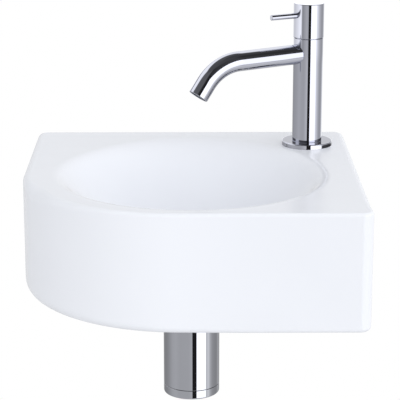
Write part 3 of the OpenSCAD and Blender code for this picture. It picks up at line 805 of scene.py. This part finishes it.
def build_cup():
    seam, foot = -197.9, -206.5
    top = seam - 0.3
    prof = section([(0, foot), (25.5, foot, 1.5), (25.5, top, 0.2), (23.42, top), (23.42, seam + 2.0), (21.6, seam + 2.0), (21.6, seam + 4.2), (23.42, seam + 4.2),
                    (23.42, seam + 12.7, 0.3), (20.2, seam + 12.7, 0.3), (20.2, foot + 3.0, 1.5), (0, foot + 3.0)], closed=False)
    return mesh_object("cup_shell", placed(lathe(prof, 192, closed=False), AT_DRAIN))


def build_outlet_nut():
    z0, z1 = 29.0, 47.5
    hold = [(22.5, z) for z in np.concatenate([np.linspace(33.0, 34.4, 8), [36, 38, 40.5], np.linspace(42.1, 43.5, 8)])]
    a = section([(19.0, z0 + 11.9), (19.0, z0), (22.5, z0, 0.8), (22.5, 33.0)], closed=False)[:-1]
    b = section([(22.5, 43.5), (22.5, z1, 0.9), (16.15, z1, 0.3), (16.15, 44.1), (17.4, 44.1), (19.0, 40.9)], closed=False)[1:-1]
    prof = np.concatenate([a, np.array(hold), b])
    return mesh_object("outlet_ring_nut", placed(lathe(prof, 480, mod=grooves(16, 23.1, 1.4, 22.5, 33.0, 43.5)), AT_OUTLET))


def build_pipe():
    prof = section([(14.8, 27.5), (16.0, 27.5, 0.3), (16.0, 168.0, 0.15), (15.6, 168.2), (15.6, 170.8), (16.0, 171.0, 0.15), (16.0, 197.0, 0.3), (14.8, 197.0, 0.2)])
    return mesh_object("pipe", placed(lathe(prof, 160), AT_OUTLET))


def build_rosette():
    prof = section([(34.0, 0), (34.0, -2.0, 0.8), (31.5, -4.1, 3.0), (22.0, -12.0, 3.0), (19.6, -13.4, 1.2), (19.4, -15.0, 0.4), (16.4, -15.0, 0.2), (16.4, -14.2), (17.4, -14.2), (17.4, -12.2), (16.4, -12.2),
                    (16.4, -11.4), (21.2, -11.2), (31.9, -1.8), (32.0, 0)])
    return mesh_object("rosette", placed(lathe(prof, 160), AT_OUTLET @ move(0, 0, 167.0)))


finish_piece(build_union_nut(), ROOT, "chrome_plate", CHROME_PIPE, "trap_union_nut")
finish_piece(build_trap(), ROOT, "chrome_plate", CHROME_PIPE, "trap_body")
finish_piece(build_cup(), CUP, "chrome_plate", CHROME_PIPE, "trap_cup")
finish_piece(build_outlet_nut(), ROOT, "chrome_plate", CHROME_PIPE, "outlet_nut")
finish_piece(build_pipe(), ROOT, "chrome_plate", CHROME_PIPE, "outlet_pipe")
finish_piece(build_rosette(), ROOT, "chrome_plate", CHROME_PIPE, "wall_rosette")

# ---------------------------------------------------------------------------
# pieces shown as the frame has them
# ---------------------------------------------------------------------------
KEPT = {
    RUBBER: ("tap_plate_seal", "aerator_washer", "valve_seat_seal", "spindle_rings", "housing_ring", "waste_top_seal", "trap_union_washer",
             "trap_cup_ring", "outlet_washer", "rosette_ring"),
    NYLON: ("glide_ring",),
    BRASS_TAP: ("valve_housing", "valve_spindle"),
    LAPPED: ("valve_fixed_disc", "valve_turning_disc"),
    STEEL_TAP: ("grub_screw",),
    STEEL_WASTE: ("waste_screw",),
    CHROME_PIPE: ("trap_inlet_tube",),
}
for mat, names in KEPT.items():
    for name in names:
        for s in NODES[name].material_slots:
            s.material = mat

# ---------------------------------------------------------------------------
# camera, floor and light
# ---------------------------------------------------------------------------
scene = bpy.context.scene
cam = bpy.data.objects.new("camera", bpy.data.cameras.new("camera"))
scene.collection.objects.link(cam)
cam.location = (-0.00427, -1.60898, 0.42310)
cam.rotation_euler = (math.pi / 2 - 0.26922, 0, -0.00833)
cam.data.lens, cam.data.sensor_width = 150.31, 36.0
cam.data.clip_start, cam.data.clip_end = 0.05, 100.0
scene.camera = cam
scene.view_settings.view_transform = "Standard"
scene.view_settings.look = "None"


def flat_plane(name, size, centre):
    x, y, z = centre
    me = bpy.data.meshes.new(name)
    h = size / 2
    me.from_pydata([(x - h, y - h, z), (x + h, y - h, z), (x + h, y + h, z), (x - h, y + h, z)], [], [(0, 1, 2, 3)])
    o = bpy.data.objects.new(name, me)
    scene.collection.objects.link(o)
    return o


FLOOR_SEEN = 1.0


def build_floor(glow):
    floor = flat_plane("floor", 60.0, (0, 6, -0.80))
    m, nt, b, co = material("floor_pale")
    grain = noise(nt, co, 3.0, 2)
    nt.links.new(blend(nt, between(nt, grain, 0, 1), (0.905, 0.905, 0.905), (0.915, 0.915, 0.915)), b.inputs["Base Color"])
    b.inputs["Roughness"].default_value = 0.9
    b.inputs["Specular IOR Level"].default_value = 0.0
    glowing = nt.nodes.new("ShaderNodeEmission")
    lp = nt.nodes.new("ShaderNodeLightPath")
    f = nt.nodes.new("ShaderNodeMix")
    f.inputs[2].default_value, f.inputs[3].default_value = glow, FLOOR_SEEN
    f.name = "floor_glow"
    nt.links.new(lp.outputs["Is Camera Ray"], f.inputs[0])
    nt.links.new(f.outputs[0], glowing.inputs["Strength"])
    nt.links.new(glowing.outputs[0], nt.nodes["Material Output"].inputs["Surface"])
    floor.data.materials.append(m)
    floor.visible_glossy = False


def ramp(nt, fac, stops):
    """Grey values along a ramp; stops are (place, value) pairs, values up to 4."""
    n = nt.nodes.new("ShaderNodeValToRGB")
    nt.links.new(fac, n.inputs[0])
    e = n.color_ramp.elements
    e[0].position, e[1].position = stops[0][0], stops[-1][0]
    e[0].color = (stops[0][1] / 4,) * 3 + (1,)
    e[1].color = (stops[-1][1] / 4,) * 3 + (1,)
    for p, v in stops[1:-1]:
        x = e.new(p)
        x.color = (v / 4,) * 3 + (1,)
    return node(nt, "ShaderNodeMath", {0: n.outputs[0], 1: 4.0}, operation="MULTIPLY").outputs[0]


def by_bearing(nt, az, pairs):
    """Ramp over the bearing from -180 to 180 degrees (0 towards the viewer, 90 to the right)."""
    return ramp(nt, az, [((a + 180) / 360, v) for a, v in pairs])


# soft lobes of the studio's light on matt surfaces: direction (x, y, z) and strength
LOBES = [
    ((0.0, 0.0, 0.0), 0.611),
    ((0.0, -1.0, 0.0), 0.494),
    ((0.7, -0.7, 0.15), 0.0),
    ((1.0, 0.0, 0.2), 0.783),
    ((-1.0, 0.0, 0.2), 0.0),
    ((-0.6, -0.7, 0.4), 0.227),
    ((0.0, 0.0, 1.0), 0.0),
    ((0.0, -0.7, 0.7), 0.0),
    ((0.6, -0.4, 0.7), 0.0),
    ((0.0, 0.8, 0.6), 0.007),
    ((-1.0, -0.4, -0.2), 0.082),
    ((0.0, 1.0, 0.2), 0.211),
    ((0.3, -0.9, -0.4), 0.659),
    ((-0.7, 0.3, 0.6), 0.0),
]
FLOOR_GLOW = 0.757


def build_world():
    w = bpy.data.worlds.new("studio")
    scene.world = w
    w.use_nodes = True
    nt = w.node_tree
    bg = nt.nodes["Background"]
    tc = nt.nodes.new("ShaderNodeTexCoord")
    gen = tc.outputs["Generated"]
    sep = node(nt, "ShaderNodeSeparateXYZ", {0: gen})
    x, y, z = sep.outputs
    my = node(nt, "ShaderNodeMath", {0: y, 1: -1.0}, operation="MULTIPLY").outputs[0]
    az = node(nt, "ShaderNodeMath", {0: x, 1: my}, operation="ARCTAN2").outputs[0]
    az01 = node(nt, "ShaderNodeMapRange", {"Value": az, "From Min": -math.pi, "From Max": math.pi, "To Min": 0.0, "To Max": 1.0}).outputs[0]
    el = node(nt, "ShaderNodeMath", {0: z}, operation="ARCSINE").outputs[0]
    deg = node(nt, "ShaderNodeMath", {0: el, 1: 180 / math.pi}, operation="MULTIPLY").outputs[0]

    # what polished metal shows, band by band from the ground up: grey room at the left, a pale wall behind, dark ceiling in front
    under = by_bearing(nt, az01, [(-180, .65), (-120, .55), (-60, .6), (0, .7), (60, .8), (75, .78), (110, .66), (140, .66), (180, .65)])
    deep = by_bearing(nt, az01, [(-180, .7), (-168, .45), (-150, .32), (-126, .35), (-110, .42), (-97, .5), (-85, .57), (-69, .6), (-50, .56), (-12, .57), (0, .62),
                                 (60, .72), (74, .97), (84, .62), (96, .45), (110, .39), (126, .36), (138, .52), (150, .5), (158, .3), (168, .6), (180, 1.0)])
    low = by_bearing(nt, az01, [(-180, .75), (-160, .45), (-142, .44), (-124, .5), (-100, .54), (-72, .62), (-50, .57), (-35, .56), (-25, .61), (-12, .74), (0, .74),
                                (55, 1.12), (70, 1.02), (81, .78), (92, .6), (104, .5), (121, .5), (136, .85), (150, 1.2), (180, 1.1)])
    mid = by_bearing(nt, az01, [(-180, 1.1), (-150, .96), (-132, .92), (-118, 1.05), (-94, 1.23), (-74, 1.45), (-62, 1.48), (-57, .62), (-50, .41), (-34, .55), (-18, .65), (-8, .6),
                                (56, 1.1), (70, 1.2), (79, .9), (90, .7), (102, .59), (115, .47), (130, .55), (160, 1.15), (180, 1.2)])
    pale = by_bearing(nt, az01, [(-180, 1.5), (-150, 1.4), (-80, 1.3), (-62, 1.0), (-56, .4), (-10, .4), (56, 1.1), (72, 1.1), (84, .6), (115, .4), (135, .6), (155, 1.35), (180, 1.5)])
    skirt = by_bearing(nt, az01, [(-180, .75), (-160, .45), (-142, .44), (-124, .5), (-100, .54), (-72, .62), (-50, .57), (-35, .56), (-25, .61), (-12, .74), (0, .74),
                                  (42, 1.0), (50, 1.9), (66, 1.9), (72, .08), (130, .05), (150, .2), (180, .7)])
    rise = by_bearing(nt, az01, [(-180, .76), (-158, .7), (-148, .2), (-106, .12), (-98, .9), (-74, .95), (-64, .12), (-6, .08), (56, .5), (80, .4), (104, .1), (146, .12), (156, .75), (180, .79)])
    high = by_bearing(nt, az01, [(-180, 1.25), (-130, 1.38), (-92, 1.36), (-84, .2), (-58, .16), (-14, .16), (-6, .04), (56, .08), (75, .04), (95, .05), (124, .08), (136, .9), (146, 1.3), (180, 1.25)])
    top = by_bearing(nt, az01, [(-180, .14), (0, .1), (100, .07), (180, .14)])

    def step(lo, hi):
        return node(nt, "ShaderNodeMapRange", {"Value": deg, "From Min": lo, "From Max": hi, "To Min": 0.0, "To Max": 1.0}, interpolation_type="SMOOTHSTEP").outputs[0]

    def mix(f, a, b):
        n = nt.nodes.new("ShaderNodeMix")
        nt.links.new(f, n.inputs[0])
        for i, c in ((2, a), (3, b)):
            nt.links.new(c, n.inputs[i])
        return n.outputs[0]
    studio = mix(step(-46, -40), under, deep)
    studio = mix(step(-16.5, -15), studio, skirt)
    studio = mix(step(-13.5, -13.3), studio, low)
    studio = mix(step(-10.8, -10.3), studio, mid)
    studio = mix(step(-4, 2), studio, pale)
    studio = mix(step(10.6, 12.2), studio, rise)
    studio = mix(step(19, 24), studio, high)
    studio = mix(step(54, 60), studio, top)
    # light on matt surfaces
    total = None
    for k, (d, strength) in enumerate(LOBES):
        gain = node(nt, "ShaderNodeMath", {0: 1.0, 1: strength}, operation="MULTIPLY")
        gain.name = "lobe_%d" % k
        if k > 0:
            u = Vector(d).normalized()
            dot = node(nt, "ShaderNodeVectorMath", {0: gen, 1: tuple(u)}, operation="DOT_PRODUCT").outputs["Value"]
            up = node(nt, "ShaderNodeMath", {0: dot, 1: 0.0}, operation="MAXIMUM").outputs[0]
            sq = node(nt, "ShaderNodeMath", {0: up, 1: up}, operation="MULTIPLY").outputs[0]
            nt.links.new(sq, gain.inputs[0])
        total = gain.outputs[0] if total is None else node(nt, "ShaderNodeMath", {0: total, 1: gain.outputs[0]}, operation="ADD").outputs[0]
    lp = nt.nodes.new("ShaderNodeLightPath")
    one = node(nt, "ShaderNodeValue")
    one.outputs[0].default_value = 1.0
    val = mix(lp.outputs["Is Camera Ray"], total, one.outputs[0])
    # only mirror-sharp reflections see the studio's bands; the glaze's soft ones see the same lobes as its matt side
    sharp = node(nt, "ShaderNodeMath", {0: lp.outputs["Is Glossy Ray"], 1: lp.outputs["Is Singular Ray"]}, operation="MULTIPLY").outputs[0]
    val = mix(sharp, val, studio)
    nt.links.new(val, bg.inputs["Strength"])
    bg.inputs["Color"].default_value = (1.0, 1.0, 1.0, 1)


def area(name, at, aim, size, power, colour=(1, 1, 1)):
    d = bpy.data.lights.new(name, "AREA")
    d.shape, d.size, d.size_y, d.energy, d.color = "RECTANGLE", size[0], size[1], power, colour
    o = bpy.data.objects.new(name, d)
    scene.collection.objects.link(o)
    o.location = at
    o.rotation_euler = (Vector(aim) - Vector(at)).to_track_quat("-Z", "Y").to_euler()
    o.visible_glossy = False
    o.visible_camera = False
    return o


def card(name, a, b, z0, z1, strength, shade_scale=2.0):
    """An upright studio card from a to b, seen only in reflections."""
    me = bpy.data.meshes.new(name)
    me.from_pydata([(a[0], a[1], z0), (b[0], b[1], z0), (b[0], b[1], z1), (a[0], a[1], z1)], [], [(0, 1, 2, 3)])
    o = bpy.data.objects.new(name, me)
    scene.collection.objects.link(o)
    m, nt, bs, co = material(name + "_cloth")
    cloth = noise(nt, co, shade_scale, 2)
    e = nt.nodes.new("ShaderNodeEmission")
    nt.links.new(between(nt, cloth, strength * 0.96, strength), e.inputs["Strength"])
    nt.links.new(e.outputs[0], nt.nodes["Material Output"].inputs["Surface"])
    o.data.materials.append(m)
    o.visible_camera = o.visible_diffuse = o.visible_transmission = o.visible_shadow = o.visible_volume_scatter = False
    return o


build_world()
build_floor(FLOOR_GLOW)
card("white_card", (0.4514, -1.3745), (1.1064, -0.7802), -0.79, 0.62, 2.0)
card("white_card_side", (1.1064, -0.7802), (1.188, -0.633), -0.5, 0.62, 1.75)
card("black_flag", (0.0378, -0.8885), (0.4514, -1.3745), -0.79, 0.75, 0.02)
area("key", (1.9, -2.4, 1.3), (0.03, -0.15, 0.0), (1.4, 1.4), 2.08)
basin.visible_glossy = False
# the ceramic hides the brass and rubber pieces from the glaze's reflections
for piece in scene.objects:
    if piece.type == "MESH" and any(m and m.name.startswith(("brass", "rubber", "clay")) for m in piece.data.materials):
        piece.visible_glossy = False
